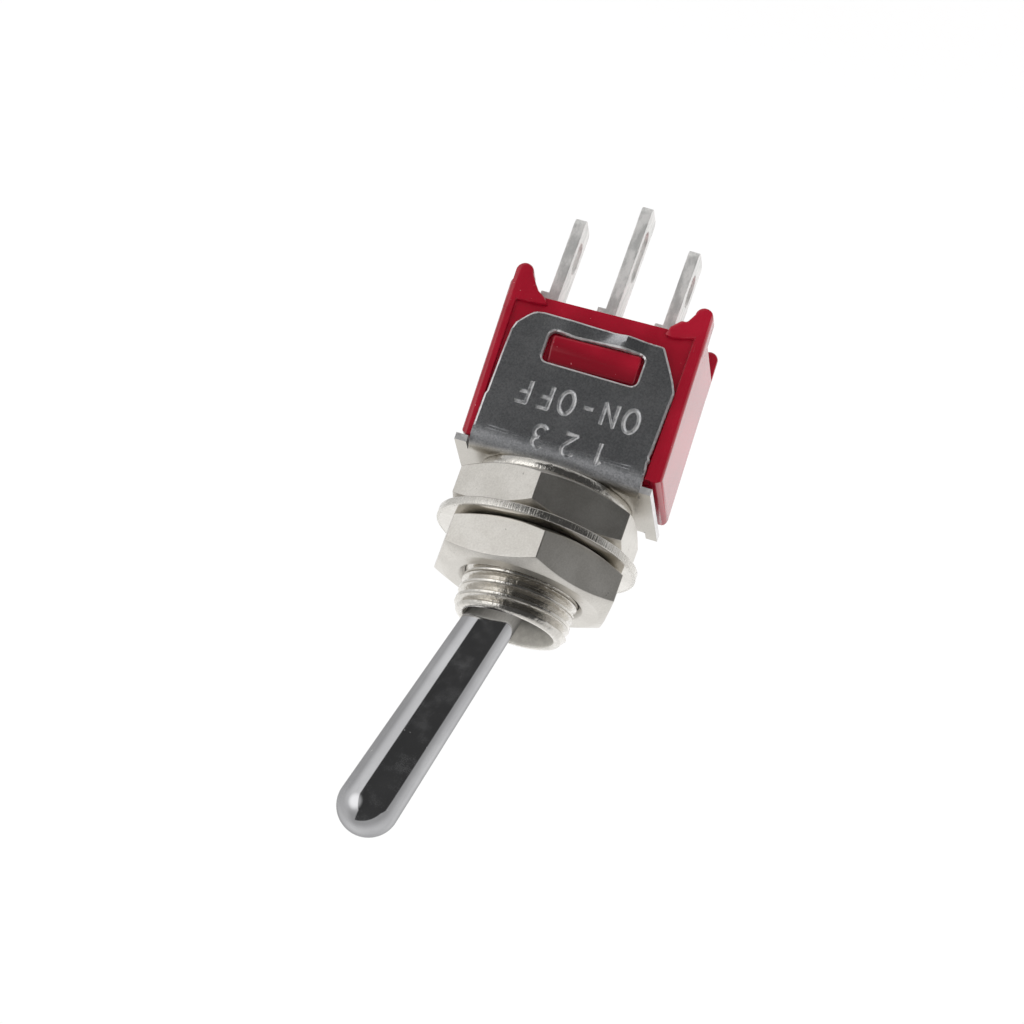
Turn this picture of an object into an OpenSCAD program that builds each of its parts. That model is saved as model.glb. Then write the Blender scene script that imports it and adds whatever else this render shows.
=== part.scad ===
// Sub-miniature two-way toggle switch with a threaded panel bushing. Millimetres.
// Z runs along the bushing, up to the lever. Z = 0 is the bracket's outer face.
// X runs along the row of terminals. The lever rests towards +X. The slotted front panel faces -Y.

/* [Bushing] */
// crest diameter of the thread
thread_d = 4.95; // [4:0.01:6.35]
// height of the bushing above the bracket
bushing_h = 6.36; // [5:0.01:9]
// depth of the thread, where the nuts hide it
thread_h = 0.275; // [0.2:0.005:0.4]
// bevel at the free end of the thread
end_bevel = 0.15; // [0.05:0.01:0.3]
// wall round the socket of the lever's ball
socket_wall = 0.42; // [0.3:0.01:0.6]
// wall round the open mouth
mouth_wall = 0.505; // [0.3:0.005:0.7]
// depth of the mouth
mouth_h = 1.45; // [0.8:0.05:2]
// collar on the bracket
collar_d = 6.7; // [6:0.05:7.3]
// thickness of the collar
collar_t = 0.42; // [0.3:0.01:0.8]
// wall of the neck through the bracket
neck_wall = 0.24; // [0.15:0.01:0.4]
// width of the staked lip under the bracket
lip_w = 0.18; // [0.1:0.01:0.3]
// thickness of the staked lip
lip_t = 0.12; // [0.08:0.01:0.2]

/* [Nuts and washer] */
// width of a nut across its flats
nut_af = 7.42; // [6.5:0.01:9]
// thickness of a nut
nut_t = 1.95; // [1.2:0.01:3]
// a nut's flat end is this much less than its width
nut_face_less = 0.52; // [0.2:0.01:1]
// slope of a nut's bevels in degrees
nut_bevel = 24; // [15:1:35]
// turn of the rear nut in degrees
rear_nut_turn = 31; // [0:0.5:60]
// turn of the front nut in degrees
front_nut_turn = 17.8; // [0:0.5:60]
// depth of the countersink round a nut's thread
nut_sink = 0.22; // [0.1:0.01:0.4]
// outside diameter of the washer
washer_d = 8.76; // [8:0.01:10]
// thickness of the washer
washer_t = 0.36; // [0.2:0.01:0.8]

/* [Lever] */
// the most the lever may tilt to each side in degrees
most_tilt = 14; // [8:0.5:15]
// height of the lever's pivot above the bracket
pivot_z = 3.1; // [2.5:0.05:4]
// length of the lever from its pivot to its tip
lever_len = 13.9; // [10:0.1:18]
// diameter of the lever where it leaves the bushing
lever_d0 = 2.2; // [1.8:0.01:2.3]
// diameter of the lever at its tip
lever_d1 = 2.66; // [2.2:0.01:3.2]
// diameter of the stem under the ball
stem_d = 1.9; // [1.5:0.01:2]
// length of the stem below the pivot
stem_len = 4.3; // [3.5:0.05:5]
// diameter of the pivot pin
pin_d = 0.7; // [0.5:0.01:0.9]

/* [Plunger] */
// bore in the stem
plunger_bore_d = 1.24; // [1:0.01:1.4]
// depth of the bore in the stem
plunger_bore_h = 2.4; // [1.8:0.05:2.8]
// distance from the stem's end to the centre of the plunger's round tip
plunger_out = 1; // [0.7:0.05:1.4]
// length of the plunger's straight part
plunger_len = 1.6; // [1.2:0.05:2]
// wire of the spring
spring_wire_d = 0.16; // [0.1:0.01:0.25]
// turns of the spring
spring_turns = 6; // [4:1:9]

/* [Rocker and contacts] */
// slope of the rocker's arms in degrees
rocker_slope = 11; // [8:0.5:13]
// tilt of the rocker at each stop in degrees
rocker_tilt = 6.8; // [5:0.1:8]
// thickness of the rocker
rocker_t = 0.25; // [0.15:0.01:0.4]
// width of the rocker
rocker_w = 1.6; // [1:0.05:2.4]
// length of each arm of the rocker past its contact
rocker_end = 0.5; // [0.45:0.05:0.7]
// room under the plunger in the rocker's valley when the lever stands upright
valley_gap = 0.142; // [0.1:0.001:0.3]
// diameter of a moving contact
moving_contact_d = 0.9; // [0.6:0.05:1]
// thickness of a moving contact
moving_contact_t = 0.22; // [0.1:0.01:0.4]
// diameter of a fixed contact
fixed_contact_d = 1.1; // [0.8:0.05:1.4]
// thickness of a fixed contact
fixed_contact_t = 0.2; // [0.1:0.01:0.4]
// the contacts stand this much nearer the middle than the outer terminals
contact_in = 0.19; // [0:0.01:0.4]
// gap between closed contacts
contact_gap = 0.02; // [0.01:0.01:0.1]

/* [Terminals] */
// spacing of the terminals
pitch = 2.54; // [2.3:0.01:3]
// thickness of a terminal
terminal_t = 0.48; // [0.3:0.01:0.6]
// width of a terminal
terminal_w = 1.8; // [1.2:0.05:2.2]
// length of the outer terminals below the case
outer_leg = 4.4; // [2:0.05:6]
// length of the middle terminal below the case
middle_leg = 5.75; // [2:0.05:8]
// radius of the corners at a terminal's tip
tip_r = 0.35; // [0.1:0.01:0.5]
// width of the eye in a terminal
eye_w = 0.9; // [0.6:0.05:1.2]
// length of the eye in an outer terminal
outer_eye_len = 1.45; // [1:0.05:2.5]
// length of the eye in the middle terminal
middle_eye_len = 2.4; // [1:0.05:3]
// metal between the eye and the tip
eye_edge = 0.82; // [0.4:0.05:1]
// thickness of the bent contact tab
tab_t = 0.3; // [0.2:0.01:0.5]
// length of the bent contact tab
tab_len = 1.5; // [1.2:0.05:1.6]
// stop shoulder beside each terminal, under the case
shoulder_t = 0.34; // [0.2:0.01:0.5]
// height of the stop shoulder
shoulder_h = 0.6; // [0.3:0.01:1]
// sideways play of the terminals and contacts off the bushing's centre line
play_x = 0.24; // [0:0.01:0.25]

/* [Case] */
// length of the case beyond the bracket's plate, both ends together
case_over = 0.13; // [0:0.01:0.4]
// the corner rails stand back this much from the panels' outer faces
rail_set = 0.2; // [0.05:0.01:0.28]
// clearance between the rails and the panels' edges
rail_gap = 0.06; // [0.03:0.01:0.2]
// clearance between the case and the panels' inner faces
waist_gap = 0.12; // [0.05:0.01:0.3]
// clearance over the case's upper end
top_gap = 0.12; // [0.1:0.01:0.4]
// height of the case's lower end, below zero
case_base_z = -7.34; // [-9.5:0.01:-7.2]
// thickness of the end walls
end_wall = 0.7; // [0.5:0.01:1]
// thickness of the front and back walls
side_wall = 0.65; // [0.5:0.01:0.8]
// thickness of the floor
floor_t = 1.9; // [1.5:0.05:2.4]
// lean of the case in the bracket in degrees
case_lean = 1.8; // [0:0.1:2.2]
// sideways place of the case
case_x = -0.05; // [-0.1:0.01:0.1]
// radius of the case's upright corners
corner_r = 0.22; // [0.05:0.01:0.4]
// length of the feet below the case
foot_h = 1.24; // [0.9:0.01:1.7]
// the feet at +X stand in this much from the case's end
foot_in = 0.09; // [0.05:0.01:0.2]
// bevel along the upper long edges, clear of the bracket's folds
top_bevel = 0.25; // [0.1:0.01:0.4]
// depth of the front gussets below the case
gusset_h = 0.44; // [0.3:0.01:0.6]
// depth of the front feet
foot_dep = 1.1; // [0.6:0.05:1.4]
// depth of the rear feet
rear_foot_dep = 0.35; // [0.25:0.01:1.2]
// radius of the feet's tips
foot_r = 0.38; // [0.2:0.01:0.4]
// latch boss proud of the waist
boss_h = 0.4; // [0.2:0.01:0.5]
// clearance round the latch boss in its slot
boss_gap = 0.12; // [0.08:0.01:0.2]
// depth of sealing resin round the terminals
seal_t = 0.8; // [0.4:0.05:1.2]

/* [Bracket] */
// thickness of the bracket's sheet
sheet_t = 0.3; // [0.2:0.01:0.5]
// length of the bracket's plate
plate_len = 8.57; // [8:0.01:11]
// depth over the bracket's panels
bracket_dep = 5.64; // [5.5:0.01:6.5]
// length of each ear of the plate beyond the panels, on average
ear_len = 0.605; // [0.5:0.005:0.8]
// sideways place of the panels
panel_x = -0.09; // [-0.15:0.01:0.15]
// height of a panel's lower edge, below zero
panel_base_z = -6.47; // [-7.2:0.01:-6]
// radius outside the folds
fold_r = 0.8; // [0.5:0.01:0.9]
// length of a panel's slot
slot_len = 4.2; // [3:0.01:5]
// height of the slot's upper edge, below zero
slot_top_z = -4.38; // [-5:0.01:-3.5]
// height of the slot's opening
slot_h = 1.42; // [1:0.01:1.5]
// radius of the slot's corners
slot_r = 0.28; // [0.1:0.01:0.5]

/* [Fits] */
// clearance between a nut's bore and the thread's crests
nut_clear = 0.03; // [0.01:0.01:0.1]
// clearance of the washer round the thread
washer_clear = 0.08; // [0.02:0.01:0.3]
// running clearance of the lever on its pin
pin_clear = 0.02; // [0.01:0.01:0.1]
// clearance of the terminals in the case's floor
slot_clear = 0.06; // [0.02:0.01:0.15]
// gap at each face of the washer
stack_gap = 0.02; // [0:0.01:0.05]
// gap between the lever and the mouth's edge at each stop
stop_gap = 0.05; // [0.02:0.01:0.1]
// clearance of the ball in its socket
ball_gap = 0.05; // [0.02:0.01:0.1]
// clearance of the stem in the flare
flare_gap = 0.12; // [0.05:0.01:0.2]
// sliding clearance of the plunger
plunger_clear = 0.02; // [0.01:0.01:0.05]
// gap between the rocker and its seat
rocker_gap = 0.02; // [0.01:0.01:0.05]

/* [Show] */
// the piece to show

/* [Hidden] */
$fn = 64;
// the bushing
root_d = thread_d - 2 * thread_h;
socket_d = root_d - 2 * socket_wall;
mouth_d = thread_d - 2 * mouth_wall;
rear_nut_z = collar_t;
washer_z = rear_nut_z + nut_t + stack_gap;
front_nut_z = washer_z + washer_t + stack_gap;
exposed_z = front_nut_z + nut_t;
// the lever stops where it meets the edge of the mouth
stop_r = mouth_d / 2 - stop_gap;
stop_h = bushing_h - pivot_z;
lever_tilt = min(most_tilt, acos(lever_d0 / 2 / norm([stop_r, stop_h])) - atan2(stop_h, stop_r));
ball_d = socket_d - 2 * ball_gap;
rim_s = stop_h / cos(lever_tilt);
tip_s = lever_len - lever_d1 / 2;
// the flare below clears the stem
flare_z = -sheet_t - lip_t;
flare_d = 2 * ((pivot_z - flare_z) * tan(lever_tilt) + stem_d / 2 / cos(lever_tilt) + flare_gap);
neck_d = flare_d + 2 * neck_wall;
lip_d = neck_d + 2 * lip_w;
// a nut's end bevels
nut_r = nut_af / 2 / cos(30);
nut_face_d = nut_af - nut_face_less;
nut_drop = (nut_r - nut_face_d / 2) * tan(nut_bevel);
// the plunger
plunger_d = plunger_bore_d - 2 * plunger_clear;
plunger_reach = stem_len + plunger_out;
// the rocker turns about the rounded top of the middle terminal
contact_x = pitch - contact_in;
rocker_reach = contact_x + rocker_end;
valley_z = pivot_z - plunger_reach - plunger_d / 2 / cos(rocker_slope) - valley_gap;
axis_z = valley_z - rocker_t / cos(rocker_slope) - rocker_gap - terminal_t / 2;
// underside of a moving contact in the level rocker, and in the tilted one
arm_z = valley_z - axis_z + contact_x * tan(rocker_slope);
under_z = arm_z - (rocker_t + moving_contact_t) / cos(rocker_slope);
fixed_top_z = axis_z - contact_x * sin(rocker_tilt) + under_z * cos(rocker_tilt)
    - moving_contact_d / 2 * sin(rocker_slope - rocker_tilt) - contact_gap;
tab_z = fixed_top_z - fixed_contact_t;
outer_tip_z = case_base_z - outer_leg;
middle_tip_z = case_base_z - middle_leg;
// the bracket and the case in it
inner_dep = bracket_dep - 2 * sheet_t;
panel_w = plate_len - 2 * ear_len;
case_len = plate_len + case_over;
case_dep = bracket_dep - 2 * rail_set;
waist_dep = inner_dep - 2 * waist_gap;
case_top_z = flare_z - top_gap;
case_mid_z = (case_top_z + case_base_z) / 2;
lean_x = (case_top_z - case_base_z) / 2 * sin(case_lean);
rail_w = case_len / 2 - panel_w / 2 - abs(panel_x - case_x) - lean_x - rail_gap;
floor_z = case_base_z + floor_t;
seal_clear = 0.35;

module bracket() color("silver") {
    difference() {
        union() {
            // plate and the two panels folded from it
            translate([panel_x, 0, 0]) rotate([90, 0, 90]) linear_extrude(panel_w, center = true)
                fold_section();
            translate([-plate_len / 2, -bracket_dep / 2 + fold_r, -sheet_t])
                cube([plate_len, bracket_dep - 2 * fold_r, sheet_t]);
            for (s = [-1, 1]) ear(s);
        }
        translate([0, 0, -sheet_t - 1]) cylinder(h = sheet_t + 2, d = neck_d);
        for (s = [-1, 1]) {
            translate([panel_x, s * (bracket_dep / 2), slot_top_z - slot_h / 2]) slot_cut();
            panel_trim(s);
        }
    }
}

// section of the sheet across the folds, in the plane of Y and Z
module fold_section() {
    half = bracket_dep / 2;
    difference() {
        union() {
            translate([-half + fold_r, -sheet_t]) square([bracket_dep - 2 * fold_r, sheet_t]);
            for (s = [-1, 1]) {
                translate([s * (half - fold_r), -fold_r]) circle(fold_r);
                translate([s * (half - sheet_t / 2) - sheet_t / 2, panel_base_z])
                    square([sheet_t, -panel_base_z - fold_r]);
            }
        }
        for (s = [-1, 1]) {
            translate([s * (half - fold_r), -fold_r]) circle(fold_r - sheet_t);
            translate([s * (half - fold_r) - (s > 0 ? fold_r : 0), -2 * fold_r])
                square([fold_r, fold_r]);
            translate([s * (half - 1.5 * fold_r) - fold_r / 2, -sheet_t - fold_r])
                square([fold_r, fold_r]);
        }
        translate([-half + sheet_t, panel_base_z - 1])
            square([inner_dep, -panel_base_z - fold_r + 1]);
    }
}

// end of the plate past the panels, level with the folds' outer faces
module ear(s) {
    out = bracket_dep / 2;
    x0 = panel_x + s * panel_w / 2;
    x1 = s * plate_len / 2;
    translate([min(x0, x1), -out, -sheet_t]) cube([abs(x1 - x0), 2 * out, sheet_t]);
}

module slot_cut() {
    rotate([90, 0, 0]) linear_extrude(2, center = true) {
        square([slot_len - 2 * slot_r, slot_h], center = true);
        square([slot_len, slot_h - 2 * slot_r], center = true);
        for (i = [-1, 1], j = [-1, 1])
            translate([i * (slot_len / 2 - slot_r), j * (slot_h / 2 - slot_r)]) circle(slot_r);
    }
}

// the panel's lower corners: a short cut at +X, a long one at -X, mirrored at the back
module panel_trim(s) {
    x = panel_w / 2 + panel_x;
    xn = panel_x - panel_w / 2;
    b = panel_base_z;
    translate([0, s * bracket_dep / 2, 0]) rotate([90, 0, 0]) linear_extrude(2, center = true) {
        polygon([[x - 0.12, b + 0.62], [x - 0.86, b], [x - 0.86, b - 1], [x + 1, b - 1],
            [x + 1, -1.2], [x - 0.02, -1.2]]);
        polygon([[xn + 0.94, b], [xn + 0.22, b + 1.35], [xn, b + 2], [xn - 1, b + 2],
            [xn - 1, b - 1], [xn + 0.94, b - 1]]);
    }
}

module bushing() color("lightgray") {
    r = thread_d / 2;
    rotate_extrude() polygon([
        [flare_d / 2, flare_z], [lip_d / 2, flare_z], [lip_d / 2, -sheet_t],
        [neck_d / 2, -sheet_t], [neck_d / 2, 0], [collar_d / 2, 0], [collar_d / 2, collar_t],
        [root_d / 2, collar_t], [root_d / 2, exposed_z], [r, exposed_z],
        [r, bushing_h - end_bevel], [r - end_bevel, bushing_h], [mouth_d / 2, bushing_h],
        [mouth_d / 2, bushing_h - mouth_h], [socket_d / 2, bushing_h - mouth_h - 0.1],
        [socket_d / 2, pivot_z - socket_d / 2 - 0.4], [flare_d / 2, flare_z]]);
}

module bushing_drilled() difference() {
    bushing();
    translate([0, 0, pivot_z]) rotate([90, 0, 0])
        cylinder(h = thread_d + 2, d = pin_d, center = true);
}

module nut(turn) difference() {
    intersection() {
        rotate([0, 0, turn]) cylinder(h = nut_t, r = nut_r, $fn = 6);
        rotate_extrude() polygon([[0, 0], [nut_face_d / 2, 0], [nut_r + 0.01, nut_drop],
            [nut_r + 0.01, nut_t - nut_drop], [nut_face_d / 2, nut_t], [0, nut_t]]);
    }
    bore = thread_d / 2 + nut_clear;
    sink = nut_sink;
    rotate_extrude() polygon([[0, -1], [bore + sink, -1], [bore + sink, 0], [bore, sink],
        [bore, nut_t - sink], [bore + sink, nut_t], [bore + sink, nut_t + 1], [0, nut_t + 1]]);
}

module rear_nut() color("gainsboro") translate([0, 0, rear_nut_z]) nut(rear_nut_turn);

module front_nut() color("gainsboro") translate([0, 0, front_nut_z]) nut(front_nut_turn);

module washer() color("gainsboro") translate([0, 0, washer_z]) difference() {
    cylinder(h = washer_t, d = washer_d);
    translate([0, 0, -1]) cylinder(h = washer_t + 2, d = thread_d + 2 * washer_clear);
}

// brings a thing drawn along Z about the pivot to the lever's rest
module on_lever() translate([0, 0, pivot_z]) rotate([0, lever_tilt, 0]) children();

module lever() color("white") on_lever() difference() {
    union() {
        sphere(d = ball_d);
        cylinder(h = rim_s, d = lever_d0);
        translate([0, 0, rim_s]) cylinder(h = tip_s - rim_s, d1 = lever_d0, d2 = lever_d1);
        translate([0, 0, tip_s]) sphere(d = lever_d1);
        translate([0, 0, -stem_len]) cylinder(h = stem_len, d = stem_d);
    }
    rotate([90, 0, 0]) cylinder(h = ball_d + 2, d = pin_d + 2 * pin_clear, center = true);
    translate([0, 0, -stem_len - 1]) cylinder(h = plunger_bore_h + 1, d = plunger_bore_d);
}

module pivot_pin() color("gray") translate([0, 0, pivot_z]) rotate([90, 0, 0])
    cylinder(h = root_d - 0.04, d = pin_d, center = true);

module plunger() color("ivory") on_lever() {
    translate([0, 0, -plunger_reach]) {
        sphere(d = plunger_d);
        cylinder(h = plunger_len, d = plunger_d);
    }
}

// coil between the plunger and the bottom of its bore
module plunger_spring() color("gray") {
    low = -plunger_reach + plunger_len + spring_wire_d / 2 + 0.01;
    high = -stem_len + plunger_bore_h - spring_wire_d / 2 - 0.01;
    coil_r = plunger_bore_d / 2 - spring_wire_d / 2 - 0.03;
    steps = 14 * spring_turns;
    sides = 6;
    pts = [for (i = [0:steps], j = [0:sides - 1])
        let (a = 360 * spring_turns * i / steps, b = 360 * j / sides,
            r = coil_r + spring_wire_d / 2 * cos(b))
        [r * cos(a), r * sin(a), low + (high - low) * i / steps + spring_wire_d / 2 * sin(b)]];
    faces = concat(
        [[for (j = [0:sides - 1]) j]],
        [[for (j = [sides - 1:-1:0]) steps * sides + j]],
        [for (i = [0:steps - 1], j = [0:sides - 1])
            let (k = (j + 1) % sides)
            [i * sides + j, (i + 1) * sides + j, (i + 1) * sides + k, i * sides + k]]);
    on_lever() polyhedron(points = pts, faces = faces);
}

// brings a thing drawn for the level rocker about its axis to its rest
module on_rocker() translate([play_x, 0, axis_z]) rotate([0, -rocker_tilt, 0]) children();

module rocker() color("gold") on_rocker() {
    z = valley_z - axis_z;
    rise = rocker_reach * tan(rocker_slope);
    drop = rocker_t / cos(rocker_slope);
    rotate([90, 0, 0]) linear_extrude(rocker_w, center = true)
        polygon([[-rocker_reach, z + rise], [0, z], [rocker_reach, z + rise],
            [rocker_reach, z + rise - drop], [0, z - drop], [-rocker_reach, z + rise - drop]]);
}

module moving_contact(s) color("silver") on_rocker()
    translate([s * contact_x, 0, arm_z - rocker_t / cos(rocker_slope)])
    rotate([0, -s * rocker_slope, 0]) translate([0, 0, -moving_contact_t])
    cylinder(h = moving_contact_t, d = moving_contact_d);

module rocker_contact_a() moving_contact(1);

module rocker_contact_b() moving_contact(-1);

// height of a closed contact's fixed half: level tab under it
module fixed_contact(s) color("silver")
    translate([play_x + s * contact_x, 0, tab_z]) cylinder(h = fixed_contact_t, d = fixed_contact_d);

module fixed_contact_a() fixed_contact(1);

module fixed_contact_b() fixed_contact(-1);

// flat lug with a round tip and a long eye, drawn upright at X = 0
module lug(tip_z, top_z, eye_len) difference() {
    r = terminal_w / 2;
    rotate([90, 0, 90]) linear_extrude(terminal_t, center = true) difference() {
        union() {
            for (y = [-1, 1]) translate([y * (r - tip_r), tip_z + tip_r]) circle(tip_r);
            translate([-r + tip_r, tip_z]) square([terminal_w - 2 * tip_r, tip_r]);
            translate([-r, tip_z + tip_r]) square([terminal_w, top_z - tip_z - tip_r]);
        }
        for (z = [tip_z + eye_edge + eye_w / 2, tip_z + eye_edge + eye_len - eye_w / 2])
            translate([0, z]) circle(eye_w / 2);
        translate([-eye_w / 2, tip_z + eye_edge + eye_w / 2])
            square([eye_w, eye_len - eye_w]);
    }
}

module shoulder() translate([0, -terminal_w / 2, case_base_z - 0.14 - shoulder_h])
    cube([terminal_t / 2 + shoulder_t, terminal_w, shoulder_h]);

module throw_terminal(s) color("lightgray") translate([play_x, 0, 0]) {
    translate([s * pitch, 0, 0]) {
        lug(outer_tip_z, tab_z, outer_eye_len);
        shoulder();
    }
    x0 = s > 0 ? pitch + terminal_t / 2 - tab_len : -pitch - terminal_t / 2;
    translate([x0, -terminal_w / 2, tab_z - tab_t]) cube([tab_len, terminal_w, tab_t]);
}

module terminal_throw_a() throw_terminal(1);

module terminal_throw_b() throw_terminal(-1);

module terminal_common() color("lightgray") translate([play_x, 0, 0]) {
    lug(middle_tip_z, axis_z, middle_eye_len);
    translate([0, 0, axis_z]) rotate([90, 0, 0])
        cylinder(h = terminal_w, d = terminal_t, center = true);
    shoulder();
}

// brings a thing drawn upright for the case to its place and lean
module on_case() translate([case_x, 0, case_mid_z]) rotate([0, -case_lean, 0])
    translate([0, 0, -case_mid_z]) children();

// rail and foot of one corner, in the plane of X and Z for +X; a front foot has a gusset
module corner_shape(s, t) {
    h = case_len / 2;
    b = case_base_z;
    f = h - (s > 0 ? foot_in : 0);
    tip = b - foot_h + foot_r;
    step = f < h ? [[f, b - 0.42]] : [];
    edge = s > 0 ? [[f - 1.2, b - gusset_h + 0.28], [f - 1.55, b - gusset_h + 0.52]]
        : [[f - 1.23, b - gusset_h], [f - 1.62, b - 0.06]];
    inner = t > 0 ? [[f - 2 * foot_r - 0.12, b + 0.2]]
        : concat([[f - 1, b - gusset_h]], edge, [[f - 1.85, b + 0.36], [f - 1.38, b + 0.5]]);
    polygon(concat([[h - rail_w, case_top_z], [h, case_top_z], [h, b - 0.3]], step,
        [[f, tip], [f - 2 * foot_r, tip]], inner, [[h - rail_w, b + 0.1]]));
    translate([f - foot_r, tip]) circle(foot_r);
}

module case() color("firebrick") difference() {
    on_case() difference() {
        union() {
            // body with rounded upright corners
            translate([0, 0, case_base_z]) linear_extrude(case_top_z - case_base_z)
                body_section();
            for (s = [-1, 1], t = [-1, 1]) corner(s, t);
            for (t = [-1, 1]) boss(t);
        }
        for (t = [-1, 1]) translate([0, t * waist_dep / 2, case_top_z]) rotate([45, 0, 0])
            cube([case_len - 2 * rail_w, top_bevel * sqrt(2), top_bevel * sqrt(2)], center = true);
        // cavity for the contacts
        translate([-case_len / 2 + end_wall, -waist_dep / 2 + side_wall, floor_z])
            cube([case_len - 2 * end_wall, waist_dep - 2 * side_wall, 20]);
    }
    // passages for the terminals, with a wider pocket for the resin
    for (i = [-1, 0, 1]) translate([play_x + i * pitch, 0, 0]) {
        passage(slot_clear, case_base_z - 2, -1);
        passage(seal_clear, floor_z - seal_t, floor_z + 0.3);
    }
}

module passage(gap, z0, z1)
    translate([-terminal_t / 2 - gap, -terminal_w / 2 - gap, z0])
    cube([terminal_t + 2 * gap, terminal_w + 2 * gap, z1 - z0]);

module body_section() {
    h = case_len / 2;
    square([case_len - rail_w, waist_dep], center = true);
    for (s = [-1, 1]) {
        translate([s * (h - rail_w / 2), 0])
            square([rail_w, case_dep - 2 * corner_r], center = true);
        translate([s * (h - (rail_w + corner_r) / 2), 0])
            square([rail_w - corner_r, case_dep], center = true);
    }
    for (s = [-1, 1], t = [-1, 1])
        translate([s * (h - corner_r), t * (case_dep / 2 - corner_r)]) circle(corner_r);
}

module corner(s, t) intersection() {
    mirror([s > 0 ? 0 : 1, 0, 0]) mirror([0, t > 0 ? 0 : 1, 0])
        translate([0, case_dep / 2, 0]) rotate([90, 0, 0]) linear_extrude(t > 0 ? rear_foot_dep : foot_dep)
        corner_shape(s, t);
    // keeps the corners round
    translate([0, 0, case_base_z - foot_h - 1]) linear_extrude(20) corner_outline();
}

module corner_outline() {
    square([case_len - 2 * corner_r, case_dep], center = true);
    square([case_len, case_dep - 2 * corner_r], center = true);
    for (s = [-1, 1], t = [-1, 1])
        translate([s * (case_len / 2 - corner_r), t * (case_dep / 2 - corner_r)]) circle(corner_r);
}

// latch boss with a ramp on its upper side
module boss(t) mirror([0, t > 0 ? 0 : 1, 0]) {
    z0 = slot_top_z - slot_h + boss_gap;
    z1 = slot_top_z - boss_gap;
    y = waist_dep / 2;
    translate([-slot_len / 2 + boss_gap + 0.07, 0, 0]) rotate([90, 0, 90])
        linear_extrude(slot_len - 2 * boss_gap - 0.24)
        polygon([[y - 0.1, z0], [y + boss_h - 0.06, z0], [y + boss_h, z0 + 0.1],
            [y + boss_h, z0 + 0.45], [y + 0.1, z1], [y - 0.1, z1]]);
}

module terminal_seal() color("dimgray") for (i = [-1, 0, 1])
    translate([play_x + i * pitch, 0, 0]) difference() {
        passage(seal_clear - 0.01, floor_z - seal_t + 0.01, floor_z - 0.02);
        passage(0.005, floor_z - seal_t - 1, floor_z + 1);
    }

bracket();
bushing_drilled();  // bushing
rear_nut();
washer();
front_nut();
lever();
pivot_pin();
plunger();
plunger_spring();
rocker();
rocker_contact_a();
rocker_contact_b();
case();
terminal_seal();
terminal_throw_a();
terminal_common();
terminal_throw_b();
fixed_contact_a();
fixed_contact_b();
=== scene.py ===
import math

import bmesh
import bpy
from mathutils import Matrix, Vector


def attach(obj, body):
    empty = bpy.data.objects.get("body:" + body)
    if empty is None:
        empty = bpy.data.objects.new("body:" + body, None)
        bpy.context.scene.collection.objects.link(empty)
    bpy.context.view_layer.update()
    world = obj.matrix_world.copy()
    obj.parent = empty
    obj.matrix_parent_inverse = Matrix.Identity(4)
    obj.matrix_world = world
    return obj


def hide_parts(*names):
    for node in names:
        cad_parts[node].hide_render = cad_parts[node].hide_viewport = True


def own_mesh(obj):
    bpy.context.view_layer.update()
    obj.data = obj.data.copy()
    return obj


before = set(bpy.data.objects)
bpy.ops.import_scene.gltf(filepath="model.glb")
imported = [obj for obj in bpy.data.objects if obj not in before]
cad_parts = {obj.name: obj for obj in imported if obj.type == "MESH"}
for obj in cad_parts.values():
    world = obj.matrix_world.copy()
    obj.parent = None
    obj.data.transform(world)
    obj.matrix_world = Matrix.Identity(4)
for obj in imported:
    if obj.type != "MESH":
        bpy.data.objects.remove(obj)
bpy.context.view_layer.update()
print("frame loaded")

mm = 0.001
full = 2 * math.pi


def addObject(name, data):
    made = bpy.data.objects.new(name, data)
    bpy.context.collection.objects.link(made)
    return made


def meshFrom(bm, name):  # the shape is used up
    mesh = bpy.data.meshes.new(name)
    bm.to_mesh(mesh)
    bm.free()
    return mesh


# camera, at the viewing angle the switch is shown from

view = {
    "place": (-0.0341455, -0.1837014, 0.0598877),
    "right": (-0.94268066, 0.0797393, -0.32402905),
    "up": (0.27987903, -0.33984935, -0.89786978),
    "lens": 164.78, "sensor": 36, "near": 0.005, "far": 20,
}


def viewAxes(v):  # right, up and back, as seen from the camera
    right, up = Vector(v["right"]).normalized(), Vector(v["up"]).normalized()
    return right, up, right.cross(up)


def addCamera(v):
    right, up, back = viewAxes(v)
    up = back.cross(right)
    data = bpy.data.cameras.new("camera")
    data.lens, data.sensor_width = v["lens"], v["sensor"]
    data.clip_start, data.clip_end = v["near"], v["far"]
    camera = addObject("camera", data)
    facing = Matrix((right, up, back)).transposed().to_4x4()
    camera.matrix_world = Matrix.Translation(v["place"]) @ facing
    bpy.context.scene.camera = camera


addCamera(view)


# shader maths: a wire is a socket that can be added, multiplied and so on

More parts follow.
